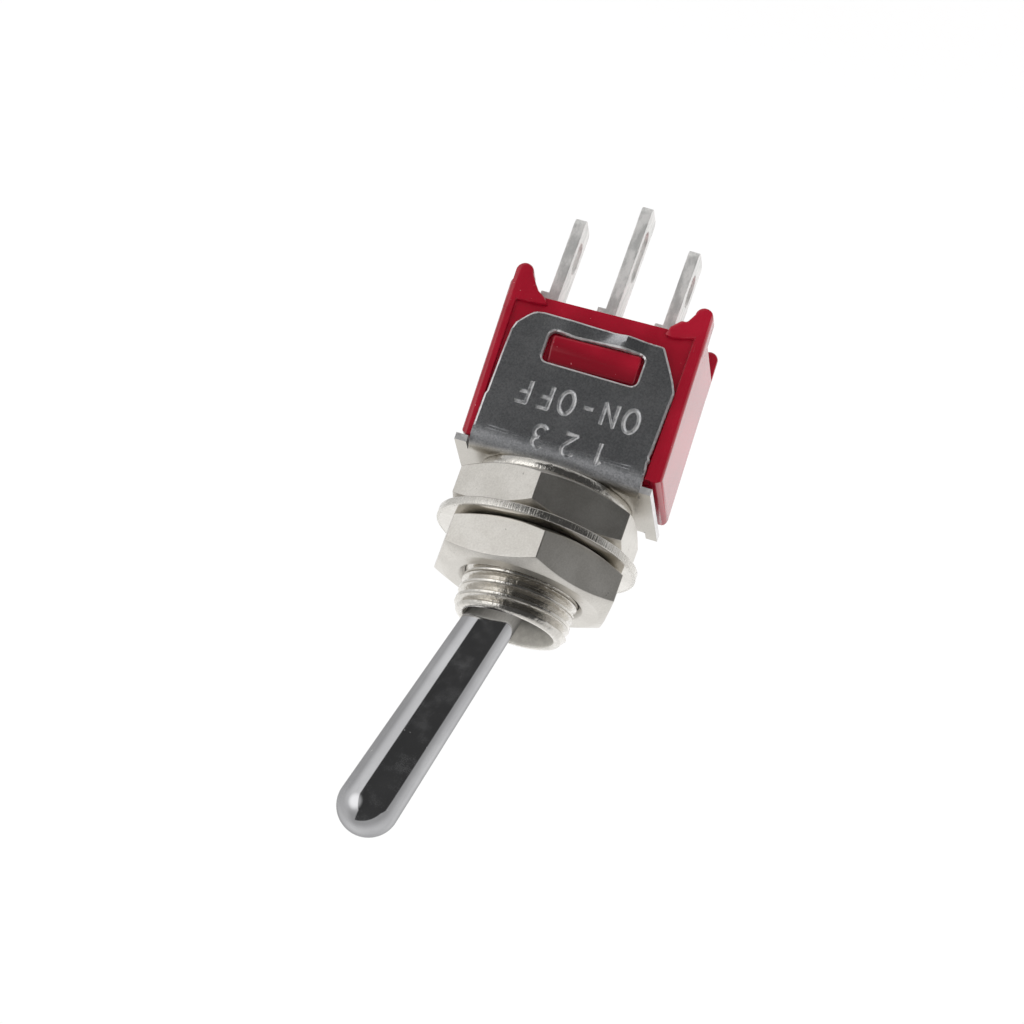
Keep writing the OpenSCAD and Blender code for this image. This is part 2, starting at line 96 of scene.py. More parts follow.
class Wire:
    def __init__(self, tree, socket):
        self.tree, self.socket = tree, socket

    def node(self, kind, settings, sockets, out=0):
        made = self.tree.nodes.new("ShaderNode" + kind)
        for name, value in settings.items():
            setattr(made, name, value)
        for name, value in sockets.items():
            if isinstance(value, Wire):
                self.tree.links.new(value.socket, made.inputs[name])
            else:
                made.inputs[name].default_value = value
        return Wire(self.tree, made.outputs[out])

    def maths(self, operation, first, second=0.0):
        return self.node("Math", {"operation": operation}, {0: first, 1: second})

    def __add__(self, other):
        return self.maths("ADD", self, other)

    def __radd__(self, other):
        return self.maths("ADD", other, self)

    def __sub__(self, other):
        return self.maths("SUBTRACT", self, other)

    def __rsub__(self, other):
        return self.maths("SUBTRACT", other, self)

    def __mul__(self, other):
        return self.maths("MULTIPLY", self, other)

    def __abs__(self):
        return self.maths("ABSOLUTE", self)

    def __gt__(self, other):
        return self.maths("GREATER_THAN", self, other)

    def __lt__(self, other):
        return self.maths("LESS_THAN", self, other)

    def axes(self):  # X, Y and Z, as three wires
        parts = self.node("SeparateXYZ", {}, {0: self}).socket.node
        return [Wire(self.tree, output) for output in parts.outputs]

    def spread(self, low, high, newLow=0.0, newHigh=1.0):  # maps low..high to newLow..newHigh
        return self.node("MapRange", {"interpolation_type": "SMOOTHSTEP"},
                         {"Value": self, "From Min": low, "From Max": high,
                          "To Min": newLow, "To Max": newHigh})

    def noise(self, size, detail=3.0, rough=0.5, stretch=(1, 1, 1), shift=(0, 0, 0)):  # size in mm
        place = self.node("Mapping", {}, {"Vector": self, "Location": shift,
                                          "Scale": [s / (size * mm) for s in stretch]})
        return self.node("TexNoise", {}, {"Vector": place, "Scale": 1.0, "Detail": detail,
                                          "Roughness": rough})

    def over(self, base, top):  # the colour base, covered by the colour top where this wire is 1
        base, top = [c if isinstance(c, Wire) else (*c, 1) for c in (base, top)]
        return self.node("Mix", {"data_type": "RGBA"}, {0: self, 6: base, 7: top}, out=2)

    def bump(self, depth, strength, under=None):  # depth in mm
        sockets = {"Height": self, "Distance": depth * mm, "Strength": strength}
        if under is not None:
            sockets["Normal"] = under
        return self.node("Bump", {}, sockets)


def startMaterial(name):
    material = bpy.data.materials.new(name)
    material.use_nodes = True
    tree = material.node_tree
    shader = tree.nodes["Principled BSDF"]
    coords = Wire(tree, tree.nodes.new("ShaderNodeTexCoord").outputs["Object"])

    def connect(**values):
        for name, value in values.items():
            slot = shader.inputs[name.replace("_", " ")]
            if isinstance(value, Wire):
                tree.links.new(value.socket, slot)
            else:
                slot.default_value = value

    return material, coords, connect


nickel = {"dark": (0.62, 0.595, 0.55), "light": (0.80, 0.775, 0.73), "rough": 0.15}


def makeNickel(v, name, streaks, depth, matt, beyond=0.0, worn=0.0):
    material, at, connect = startMaterial(name)
    cloud = at.noise(1.6, 4, 0.6).spread(0.35, 0.7)
    grain = at.noise(0.06, 3)
    dents = None
    if worn:
        dents = at.noise(0.32, 4, 0.6, shift=(0.2, 0.6, 0.1)).spread(0.25, 0.6).bump(worn, 0.9)
    lines = at.noise(0.5, 4, 0.6, streaks)
    if beyond:  # the lines are only on the rim, outside this radius
        flat = at.node("VectorMath", {"operation": "MULTIPLY"}, {0: at, 1: (1, 1, 0)})
        radius = flat.node("VectorMath", {"operation": "LENGTH"}, {0: flat}, out=1)
        lines = lines * (radius > beyond * mm)
    pits = at.noise(0.24, 1, shift=(0.1, 0.4, 0.2)).spread(0.775, 0.80)
    speckle = (cloud * 0.25 + at.noise(0.08, 3, 0.7) * 0.75).spread(0.2, 0.8)
    colour = pits.over(speckle.over(v["dark"], v["light"]), [0.8 * c for c in v["dark"]])
    connect(Metallic=1.0, Base_Color=colour,
            Roughness=v["rough"] + matt + cloud * 0.05 + lines * 0.08 + pits * 0.1,
            Normal=grain.bump(0.0015, 0.6, lines.bump(depth, 0.8, dents)))
    return material


sheetSteel = {"dark": (0.43, 0.44, 0.46), "light": (0.71, 0.715, 0.73), "rough": 0.27,
              "plate": ((0.44, 0.42, 0.375), (0.58, 0.55, 0.505)), "plateZ": (-0.30, -0.02),
              "foldZ": (-1.1, -0.55), "struck": (0.88, 0.875, 0.87),
              "stampY": 2.785, "stampDepth": 0.12, "stampZ": -0.68}


def makeSheetSteel(v):
    material, at, connect = startMaterial("satinSheet")
    cloud = at.noise(1.6, 4).spread(0.35, 0.68)
    grain = at.noise(0.06, 3, 0.65)
    rolled = at.noise(0.12, 3, 0.6, (1, 1, 0.12))
    y, z = at.axes()[1:]
    struck = (abs(y) < v["stampY"] * mm) * (z < v["stampZ"] * mm)  # the floor of the stamping
    struck = struck * (abs(y) > (v["stampY"] - v["stampDepth"]) * mm)
    struck = struck * at.noise(0.2, 3, 0.6).spread(0.3, 0.62, 0.25, 1)
    # painted tone: the upper face of the flat plate is tinted warmer and darker than the rest of
    # the same sheet, for the light that falls on it
    top = z.spread(*[height * mm for height in v["plateZ"]])
    scuffed = z.spread(*[height * mm for height in v["foldZ"]]) * (1 - top)
    scuffed = scuffed * at.noise(0.15, 3, 0.7).spread(0.3, 0.7, 0.5, 1)
    mottle = (cloud * 0.1 + at.noise(0.075, 3, 0.7) * 0.9).spread(0.25, 0.75)
    colour = top.over(mottle.over(v["dark"], v["light"]), mottle.over(*v["plate"]))
    connect(Metallic=1 - struck * 0.2 - scuffed * 0.2, Base_Color=struck.over(colour, v["struck"]),
            Roughness=v["rough"] + grain * 0.02 + mottle * 0.03 + struck * 0.3 + scuffed * 0.08,
            Normal=grain.bump(0.0004, 0.5, rolled.bump(0.0009, 0.5)))
    return material


def makeCutEdge(name, dark, light, rough, metallic, deep=None):  # where a tool has cut
    material, at, connect = startMaterial(name)
    torn = at.noise(0.25, 4, 0.65).spread(0.35, 0.7)
    colour = torn.over(dark, light)
    # painted shade: the colour darkens from the first height down to the second, deeper into a bore
    if deep:  # darker from the first height down to the second
        z = at.axes()[2]
        colour = z.spread(deep[1] * mm, deep[0] * mm, 1, 0).over(colour, [0.1 * c for c in dark])
    connect(Metallic=metallic, Base_Color=colour, Roughness=rough + torn * 0.1,
            Normal=at.noise(0.08, 2).bump(0.004, 0.6))
    return material


chrome = {"dark": (0.52, 0.52, 0.53), "light": (0.59, 0.59, 0.60), "edge": (0.46, 0.46, 0.46),
          "dust": (0.75, 0.74, 0.72), "rough": 0.06}


def makeChrome(v):
    material, at, connect = startMaterial("polishedChrome")
    cloud = at.noise(1.5, 4).spread(0.35, 0.7)
    dust = at.noise(0.10, 1).spread(0.785, 0.81, 0, 0.6)
    haze = at.noise(0.55, 4, 0.65).spread(0.48, 0.72)
    smudge = at.noise(0.9, 4, 0.65, shift=(0.4, 0.2, 0.1)).spread(0.45, 0.75)
    colour = dust.over(cloud.over(v["dark"], v["light"]), v["dust"])
    # painted shade: the edge tint darkens the chrome's reflection towards the lever's outline
    connect(Metallic=1 - dust * 0.9 - smudge * 0.06, Base_Color=colour,
            Roughness=v["rough"] + haze * 0.05 + dust * 0.4, Specular_Tint=(*v["edge"], 1),
            Normal=at.noise(0.12, 3).bump(0.0008, 0.4))
    return material


redPlastic = {"deep": (0.32, 0.004, 0.018), "bright": (0.41, 0.007, 0.026), "rough": 0.10,
              "dust": (0.55, 0.18, 0.20),
              "slotX": 2.1, "slotY": 2.44, "slotTop": -4.3, "shadeZ": (-5.7, -4.9), "slant": 0.12}


def makeRedPlastic(v):
    material, at, connect = startMaterial("redMoulding")
    cloud = at.noise(2.4, 3).spread(0.35, 0.7)
    grain = at.noise(0.07, 3, 0.6)
    dust = at.noise(0.15, 1, shift=(0.3, 0.1, 0.5)).spread(0.77, 0.79)
    x, y, z = at.axes()
    # painted shade: the boss in the slot is darkened, most on its side towards the bushing
    within = (abs(x) < v["slotX"] * mm) * (abs(y) > v["slotY"] * mm) * (z < v["slotTop"] * mm)
    low, high = v["shadeZ"]
    shade = within * (z + x * v["slant"]).spread(low * mm, high * mm, 0.1, 0.75)  # in the slot
    colour = shade.over(cloud.over(v["deep"], v["bright"]), [0.55 * c for c in v["deep"]])
    connect(Base_Color=dust.over(colour, v["dust"]),
            Roughness=v["rough"] + grain * 0.12 + dust * 0.2,
            Normal=grain.bump(0.003, 0.6, at.noise(0.8, 3).bump(0.012, 0.5)))
    return material


silver = {"dark": (0.74, 0.74, 0.72), "light": (0.98, 0.97, 0.95),
          "rough": 0.46, "metallic": 0.68}


def makeSilver(v):
    material, at, connect = startMaterial("silverPlate")
    blotch = at.noise(0.4, 4, 0.65, (1, 1, 0.45)).spread(0.36, 0.62)
    grain = at.noise(0.1, 3, 0.6)
    connect(Metallic=v["metallic"], Base_Color=blotch.over(v["dark"], v["light"]),
            Roughness=v["rough"] + blotch * 0.12, Normal=grain.bump(0.012, 0.8))
    return material


def makePlain(name, dark, light, rough, metallic=0.0, size=0.3, depth=0.003):  # small inner pieces
    material, at, connect = startMaterial(name)
    mottle = at.noise(size, 4).spread(0.35, 0.68)
    connect(Metallic=metallic, Base_Color=mottle.over(dark, light),
            Roughness=rough + mottle * 0.1, Normal=at.noise(size / 4, 2).bump(depth, 0.6))
    return material


nickelTurned = makeNickel(nickel, "nickelTurned", (0.3, 0.3, 8), depth=0.003, matt=-0.05,
                          worn=0.016)
nickelNut = makeNickel(nickel, "nickelNut", (2, 2, 2), depth=0.002, matt=0.2)
nickelRim = makeNickel(nickel, "nickelRim", (8, 8, 0.3), depth=0.034, matt=-0.07, beyond=4.25)
satinSheet = makeSheetSteel(sheetSteel)
polishedChrome = makeChrome(chrome)
redMoulding = makeRedPlastic(redPlastic)
silverPlate = makeSilver(silver)
shearedEdge = makeCutEdge("shearedEdge", (0.72, 0.71, 0.71), (0.95, 0.94, 0.94),
                          rough=0.42, metallic=0.85)
# inside the bushing's bore, with painted shade that deepens down the bore
boredNickel = makeCutEdge("boredNickel", (0.80, 0.77, 0.70), (0.95, 0.92, 0.85),
                          rough=0.5, metallic=0.4, deep=(5.75, 4.85))
print("materials made")


# outlines, turning, cutting, joining and finishing

def arc(cx, cy, rx, ry, begin, end, count=14):  # points along an ellipse, angles in degrees
    angles = [math.radians(begin + (end - begin) * i / count) for i in range(count + 1)]
    return [(cx + rx * math.cos(a), cy + ry * math.sin(a)) for a in angles]


def addLine(bm, points, closed=True):  # a few points joined by edges
    made = [bm.verts.new(p) for p in points]
    for a, b in zip(made, made[1:] + (made[:1] if closed else [])):
        bm.edges.new((a, b))


def newShape(points, closed=True):
    bm = bmesh.new()
    addLine(bm, points, closed)
    return bm


def move(bm, vec):
    bmesh.ops.translate(bm, vec=vec, verts=bm.verts)


def stretch(bm, vec):
    bmesh.ops.scale(bm, vec=vec, verts=bm.verts)


def rotate(bm, degrees, axis):
    bmesh.ops.rotate(bm, verts=bm.verts, cent=(0, 0, 0),
                     matrix=Matrix.Rotation(math.radians(degrees), 3, axis))


def spin(bm, angle, steps, rise=0.0, merge=False):  # the whole shape about Z, rising at each step
    bmesh.ops.spin(bm, geom=bm.verts[:] + bm.edges[:], cent=(0, 0, 0), axis=(0, 0, 1),
                   dvec=(0, 0, rise), angle=angle, steps=steps, use_merge=merge)


def spun(profile, steps, closed=True):  # profile of (radius, height), turned about Z
    bm = newShape([(r, 0, z) for r, z in profile], closed)
    spin(bm, full, steps, merge=True)
    return bm


def outwards(bm):
    bmesh.ops.recalc_face_normals(bm, faces=bm.faces)


def tidyShape(bm):
    bmesh.ops.remove_doubles(bm, verts=bm.verts, dist=1e-5)
    bmesh.ops.dissolve_degenerate(bm, edges=bm.edges, dist=1e-5)
    outwards(bm)


def extrude(bm, depth):  # gives a flat shape its thickness along Z
    grown = bmesh.ops.extrude_face_region(bm, geom=bm.faces[:])["geom"]
    verts = [g for g in grown if isinstance(g, bmesh.types.BMVert)]
    bmesh.ops.translate(bm, vec=(0, 0, depth), verts=verts)


def sharpEdges(bm, degrees):
    limit = math.radians(degrees)
    return [e for e in bm.edges if len(e.link_faces) == 2 and e.calc_face_angle() > limit]


def soften(bm, width, edges, segments=2):
    bmesh.ops.bevel(bm, geom=edges, offset=width, offset_type="OFFSET", affect="EDGES",
                    segments=segments, profile=0.5, material=-1, clamp_overlap=True)


def evaluated(thing):  # the shape of an object with its modifiers or its bevel done
    bm = bmesh.new()
    bm.from_mesh(thing.evaluated_get(bpy.context.evaluated_depsgraph_get()).to_mesh())
    return bm


def cutOrJoin(bm, other, operation):  # boolean of two closed meshes, both in mm
    made = [addObject("operand", meshFrom(shape, "operand")) for shape in (bm, other)]
    work = made[0].modifiers.new("work", "BOOLEAN")
    work.object, work.operation, work.solver, work.use_self = made[1], operation, "EXACT", True
    result = evaluated(made[0])
    for thing in made:
        bpy.data.meshes.remove(thing.data)
    return result


def finishPiece(bm, name, material, body, nodes, degrees=35, weighted=True, second=None):
    slits = [e for e in bm.edges if e.is_boundary]  # slivers that a boolean left open
    if slits:
        bmesh.ops.holes_fill(bm, edges=slits, sides=4)
        outwards(bm)
    for face in bm.faces:
        face.smooth = True
    for edge in bm.edges:
        edge.smooth = len(edge.link_faces) != 2 or edge.calc_face_angle() < math.radians(degrees)
    stretch(bm, (mm, mm, mm))
    mesh = meshFrom(bm, name)
    mesh.materials.append(material)
    if second:
        mesh.materials.append(second)
    piece = addObject(name, mesh)
    if weighted:
        piece.modifiers.new("evenNormals", "WEIGHTED_NORMAL").keep_sharp = True
    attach(piece, body)
    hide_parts(*nodes)
    print(name, "made,", len(mesh.polygons), "faces")
    return piece


# bushing with its thread

bushing = {
    "crest": 2.475, "root": 2.2, "pitch": 0.5, "top": 6.36, "low": 0.42, "steps": 144,
    "shape": (0.0, 0.03, 0.30, 0.72, 0.98, 0.90, 0.90, 1.0, 0.72, 0.30),  # root to root
    "plain": 2.36, "lead": 0.12, "fade": 0.1, "chamfer": 0.07,
    "mouth": 1.97, "mouthDepth": 1.45, "socket": 1.78, "socketEnd": 0.92, "flare": 2.05,
    "collar": 3.35, "neck": 2.29, "sheet": 0.3, "lip": 2.47, "under": -0.42, "edge": 0.03,
}


def makeThread(v):
    shape, rows, deep = v["shape"], len(v["shape"]), v["crest"] - v["root"]
    turns = int((v["top"] - v["low"]) / v["pitch"]) + 3
    start, end = v["low"] - 1.6 * v["pitch"], v["top"] - v["chamfer"]
    bm = newShape([(v["root"] + deep * shape[i % rows], 0, start + v["pitch"] * i / rows)
                   for i in range((turns + 1) * rows + 1)], closed=False)
    spin(bm, full, v["steps"], v["pitch"] / v["steps"])
    for vert in bm.verts:  # the thread runs out under a plain lead at the free end
        z = min(max(vert.co.z, v["low"]), end)
        r = vert.co.xy.length
        plain = v["plain"] - max(0, z - (end - v["fade"])) * 0.5
        blend = min(1, max(0, (z - (end - v["lead"] - v["fade"])) / v["fade"]))
        r = v["root"] if z <= v["low"] else r + (plain - r) * blend
        vert.co = (*(vert.co.xy.normalized() * r), z)
    bmesh.ops.remove_doubles(bm, verts=bm.verts, dist=1e-3)
    return bm


def makeBushing(v):
    bm = makeThread(v)
    top, low, under, e = v["top"], v["low"], v["under"], v["edge"]
    mouth, socket, lip, neck, collar = [v[k] for k in ("mouth", "socket", "lip", "neck", "collar")]
    end, seat = top - v["chamfer"], top - v["mouthDepth"]
    outer = max(vert.co.xy.length for vert in bm.verts if vert.co.z > end - 1e-6)
    sleeve = [(outer, end), (outer - 0.05, top - 0.025), (outer - 0.13, top), (mouth + 0.10, top),
              (mouth + e, top - e), (mouth, top - 0.11), (mouth, seat), (socket, seat - 0.1),
              (socket, v["socketEnd"]), (v["flare"], under), (lip - e, under), (lip, under + e),
              (lip, -v["sheet"]), (neck, -v["sheet"]), (neck, 0), (collar - e, 0), (collar, e),
              (collar, low - 0.05), (collar - 0.05, low), (v["root"], low)]
    bm.from_mesh(meshFrom(spun(sleeve, v["steps"], closed=False), "sleeve"))
    tidyShape(bm)
    for face in bm.faces:
        c = face.calc_center_median()
        if c.xy.length < mouth + 0.02 and under < c.z < top - 0.02:
            face.material_index = 1
    return finishPiece(bm, "threadedBushing", nickelTurned, "switch_body", ["bushing"],
                       50, weighted=False, second=boredNickel)


makeBushing(bushing)


# nuts and washer

nut = {
    "flats": 7.42, "height": 1.95, "outer": 4, "face": 3.45, "slope": 24, "bore": 2.505,
    "sink": 0.22, "corner": 0.07, "edge": 0.035,
    "places": (  # name, node, body, height of the lower face and turn in degrees
        ("rearHexNut", "rear_nut", "switch_body", 0.42, 31),
        ("frontHexNut", "front_nut", "front_nut_body", 2.77, 17.8),
    ),
}


def makeNut(v, name, node, body, low, degrees):
    h, face, bore, sink, outer = [v[k] for k in ("height", "face", "bore", "sink", "outer")]
    bm = spun([(bore, sink), (bore + sink, 0), (face, 0), (outer, 0.3), (outer, h - 0.3),
               (face, h), (bore + sink, h), (bore, h - sink)], 120)
    for vert in bm.verts:  # the rim is drawn in to six flats, with the corners cut at a slope
        if vert.co.xy.length < outer - 0.1:
            continue
        around = (math.atan2(vert.co.y, vert.co.x) + full) % (full / 6) - full / 12
        r = v["flats"] / 2 / math.cos(around)
        drop = max(0, r - face) * math.tan(math.radians(v["slope"]))
        z = drop if vert.co.z < h / 2 else h - drop
        vert.co = (*(vert.co.xy.normalized() * r), z)
    reach = v["flats"] / 2 / math.cos(full / 12) - 0.05
    corners = [e for e in sharpEdges(bm, 45) if min(p.co.xy.length for p in e.verts) > reach
               and abs(e.verts[0].co.z - e.verts[1].co.z) > 0.5]
    soften(bm, v["corner"], corners, 3)
    soften(bm, v["edge"], sharpEdges(bm, 19))
    rotate(bm, degrees, "Z")
    move(bm, (0, 0, low))
    tidyShape(bm)
    bmesh.ops.dissolve_limit(bm, angle_limit=math.radians(0.3), verts=bm.verts, edges=bm.edges)
    return finishPiece(bm, name, nickelNut, body, [node], 40)


for place in nut["places"]:
    makeNut(nut, *place)

washer = {"outer": 4.38, "inner": 2.555, "low": 2.39, "thick": 0.36, "edge": 0.05}


def makeWasher(v):
    inner, outer, thick = v["inner"], v["outer"], v["thick"]
    bm = spun([(inner, 0), (outer, 0), (outer, thick), (inner, thick)], 160)
    soften(bm, v["edge"], sharpEdges(bm, 60), 4)
    move(bm, (0, 0, v["low"]))
    tidyShape(bm)
    return finishPiece(bm, "flatWasher", nickelRim, "washer_body", ["washer"], 50)


makeWasher(washer)


# lever

lever = {
    "tilt": 13.5937, "pivot": 3.1, "length": 13.9, "thin": 1.10, "thick": 1.33, "rim": 3.354,
    "ball": 1.73, "stem": 0.95, "stemEnd": -4.3, "bore": 0.62, "boreEnd": -1.9, "edge": 0.05,
}


def leverTurn(v):  # from upright about the origin to its place at rest
    return Matrix.Translation((0, 0, v["pivot"])) @ Matrix.Rotation(math.radians(v["tilt"]), 4, "Y")


def makeLever(v):
    thin, thick, rim, ball, stem = [v[k] for k in ("thin", "thick", "rim", "ball", "stem")]
    bore, boreEnd, stemEnd, tip = v["bore"], v["boreEnd"], v["stemEnd"], v["length"] - thick
    start, end = -math.degrees(math.acos(stem / ball)), math.degrees(math.acos(thin / ball))
    heights = [rim * 0.7, rim] + [rim + (tip - rim) * i / 16 for i in range(1, 16)]
    profile = [(0, boreEnd), (bore, boreEnd), (bore, stemEnd), (stem - v["edge"], stemEnd),
               (stem, stemEnd + v["edge"])]
    profile += arc(0, 0, ball, ball, start, end, 24)
    profile += [(thin + (thick - thin) * max(0, (z - rim) / (tip - rim)), z) for z in heights]
    profile += arc(0, tip, thick, thick, 0, 90, 20)[:-1] + [(0, v["length"])]
    bm = spun(profile, 128, closed=False)
    tidyShape(bm)
    bmesh.ops.transform(bm, matrix=leverTurn(v), verts=bm.verts)
    return finishPiece(bm, "leverBat", polishedChrome, "lever_body", ["lever"], 40,
                       weighted=False)


makeLever(lever)


# stamped characters

stamp = {
    "rows": (("ON-OFF", -0.15, -2.88, 0.94), ("1 2 3", -0.36, -1.10, 0.66)),
    "tall": 1.02, "wide": 0.60, "width": 0.10, "depth": 0.08,
    "strokes": {  # each character in a box from 0 to 1
        "O": [arc(0.5, 0.5, 0.5, 0.5, 0, 360, 28)],
        "N": [[(0.05, 0), (0.05, 1), (0.95, 0), (0.95, 1)]],
        "F": [[(0.12, 0), (0.12, 1), (0.95, 1)], [(0.12, 0.52), (0.8, 0.52)]],
        "-": [[(0.15, 0.48), (0.85, 0.48)]],
        "1": [[(0.25, 0.78), (0.55, 1), (0.55, 0)]],
        "2": [arc(0.5, 0.70, 0.42, 0.30, 160, -35) + [(0.08, 0), (0.95, 0)]],
        "3": [arc(0.46, 0.74, 0.38, 0.26, 150, -80) + arc(0.46, 0.26, 0.44, 0.27, 80, -150)],
        " ": [],
    },
}


def roundedLine(line, step=0.05):  # each corner cut once, so that the stroke bends smoothly
    run = [line[0]]
    for a, b, c in zip(line, line[1:], line[2:]):
        for other in (a, c):
            far = math.dist(other, b)
            part = min(0.4, step / far) if far > 0.3 else 0
            run.append((b[0] + (other[0] - b[0]) * part, b[1] + (other[1] - b[1]) * part))
            if not part:
                break
    return run + [line[-1]]


def roundStroke(points, closed, radius):  # a round rod along the points
    data = bpy.data.curves.new("stroke", "CURVE")
    data.dimensions, data.bevel_depth, data.bevel_resolution = "3D", radius, 5
    data.use_fill_caps = True
    spline = data.splines.new("POLY")
    spline.use_cyclic_u = closed
    spline.points.add(len(points) - 1)
    for point, place in zip(spline.points, points):
        point.co = (*place, 1)
    thing = addObject("stroke", data)
    rod = evaluated(thing)
    bpy.data.objects.remove(thing)
    bmesh.ops.remove_doubles(rod, verts=rod.verts, dist=1e-5)
    outwards(rod)
    if rod.calc_volume(signed=True) < 0:
        bmesh.ops.reverse_faces(rod, faces=rod.faces)
    return rod


def stampedStrokes(v, panel):  # the rods that are sunk into the panel at this y
    y = panel - v["width"] + v["depth"]
    total = bmesh.new()
    for text, middle, height, step in v["rows"]:
        for i, character in enumerate(text):
            x = middle + (i - (len(text) - 1) / 2) * step - v["wide"] / 2
            for line in v["strokes"][character]:
                closed = math.dist(line[0], line[-1]) < 1e-6
                line = line[:-1] if closed else roundedLine(line)
                points = [(x + a * v["wide"], y, height + (b - 0.5) * v["tall"]) for a, b in line]
                total.from_mesh(meshFrom(roundStroke(points, closed, v["width"]), "stroke"))
    return total


# bracket: one sheet, cut flat and then folded

sheet = {
    "half": 4.285, "depth": 2.82, "thick": 0.3, "fold": 0.80, "arc": 1.02, "hole": 2.29,
    "slitRight": (3.73, 3.77), "slitLeft": (-3.74, -3.78),  # the panel's side and the flap's
    "outline": (  # x and height, down the panel's right edge and up its left one
        (3.73, -1.0), (3.735, -2.30), (3.68, -2.44), (3.655, -4.3), (3.625, -5.35), (3.52, -5.72),
        (3.19, -6.12), (2.96, -6.34), (2.74, -6.43), (2.5, -6.47), (-2.70, -6.44), (-2.80, -6.40),
        (-2.88, -6.28), (-3.30, -5.60), (-3.62, -5.05), (-3.80, -4.62), (-3.80, -4.36),
        (-3.775, -4.0), (-3.76, -3.0), (-3.73, -1.9), (-3.70, -1.62), (-3.76, -1.5),
        (-3.70, -1.34), (-3.75, -1.1), (-3.74, -1.0),
    ),
    "slotX": (-2.19, 2.01), "slotZ": (-5.80, -4.38), "slotR": 0.28,
    "wave": (  # lower edge of the slot
        (-0.6, -5.80), (0.0, -5.785), (0.35, -5.765), (0.75, -5.73), (1.1, -5.735), (1.4, -5.77),
    ),
    "rim": 0.08, "rimFrom": 0.8, "drop": 0.05,
    "rows": (1.2, 0.2, 27), "columns": (-3.6, 0.2, 37),  # of edges: first, step and count
    "marks": (-0.87, -1.00), "markWidth": 0.03, "markLength": 3.4, "markDepth": 0.022,
    "buckle": 0.19, "buckleFrom": 5.72, "buckleX": (-0.05, -1.22, -2.05), "buckleLean": 0.9,
    "swell": 0.03, "swellX": 1.3, "swellWidth": 0.6,
}


def foldSheet(v, point):  # takes a point of the flat sheet to its place on the folded one
    x, t, z = point
    flat = v["depth"] - v["fold"]
    side, t = (1 if t > 0 else -1), abs(t)
    onPanel = sum(v["slitLeft"]) / 2 < x < sum(v["slitRight"]) / 2 or t > v["depth"] + 0.01
    if t <= flat or not onPanel:
        return Vector((x, side * t, z))
    r = v["fold"] + z
    a = min(1, (t - flat) / v["arc"]) * full / 4
    y, low = flat + r * math.sin(a), -v["fold"] + r * math.cos(a)
    low -= max(0, t - flat - v["arc"])
    return Vector((x, side * y, low))


def flatSheet(v, zone):  # zone is how far out on the flat sheet the panel's height is nought
    flat, out = v["depth"] - v["fold"], v["depth"]
    (rightIn, rightOut), (leftIn, leftOut) = v["slitRight"], v["slitLeft"]
    ring = []
    for side in (-1, 1):
        run = [(v["half"], out), (rightOut, out), (rightOut, flat), (rightIn, flat)]
        run += [(x, zone - z) for x, z in v["outline"]]
        run += [(leftIn, flat), (leftOut, flat), (leftOut, out), (-v["half"], out)]
        ring += [(x, side * t, 0) for x, t in (run if side < 0 else run[::-1])]
    bm = newShape(ring)
    addLine(bm, [(x, y, 0) for x, y in arc(0, 0, v["hole"], v["hole"], 0, 360, 64)[:-1]])
    (x0, x1), (z0, z1), r = v["slotX"], v["slotZ"], v["slotR"]
    corners = ((x1 - r, z1 - r), (x0 + r, z1 - r), (x0 + r, z0 + r), (x1 - r, z0 + r))
    slot = []
    for i, (x, z) in enumerate(corners):
        slot += arc(x, z, r, r, 90 * i, 90 * i + 90, 6) + list(v["wave"] if i == 2 else ())
    for side in (-1, 1):
        addLine(bm, [(x, side * (zone - z), 0) for x, z in slot])
    bmesh.ops.triangle_fill(bm, use_beauty=True, use_dissolve=False, edges=bm.edges[:])
    return bm


def addRows(v, bm, zone):  # edges across the folds, at the marks and over the panels
    flat = v["depth"] - v["fold"]
    rows = [flat + v["arc"] * k / 12 for k in range(13)]
    rows += [zone - (z + k * v["markWidth"]) for z in v["marks"] for k in (1, 0, -1)]
    first, step, count = v["rows"]
    rows += [zone + first + step * k for k in range(count)]
    for side in (-1, 1):
        for t in rows:
            bmesh.ops.bisect_plane(bm, geom=bm.verts[:] + bm.edges[:] + bm.faces[:], dist=1e-5,
                                   plane_co=(0, side * t, 0), plane_no=(0, 1, 0))
    first, step, count = v["columns"]
    for x in [first + step * k for k in range(count)]:
        low = [f for f in bm.faces if abs(f.calc_center_median().y) > flat]
        near = {g for f in low for g in list(f.verts) + list(f.edges)} | set(low)
        bmesh.ops.bisect_plane(bm, geom=list(near), dist=1e-5, plane_co=(x, 0, 0),
                               plane_no=(1, 0, 0))


def dent(v, x, z, down):  # how far the sheet is out of its plane, this far down a panel
    out = 0.0
    if down > v["buckleFrom"]:  # the strip beyond the slot is buckled
        start, crest, end = v["buckleX"]
        start -= v["buckleLean"] * max(0, down - v["buckleFrom"] - 0.08)
        rise = max(0, min((start - x) / (start - crest), (x - end) / (crest - end)))
        swell = math.exp(-((x - v["swellX"]) / v["swellWidth"]) ** 2)
        out += v["buckle"] * rise + v["swell"] * swell
    if z > -0.05 and min(abs(down + m) for m in v["marks"]) < 0.01:  # left by the folding tool
        out -= v["markDepth"] * max(0, 1 - (x / v["markLength"]) ** 6)
    return out


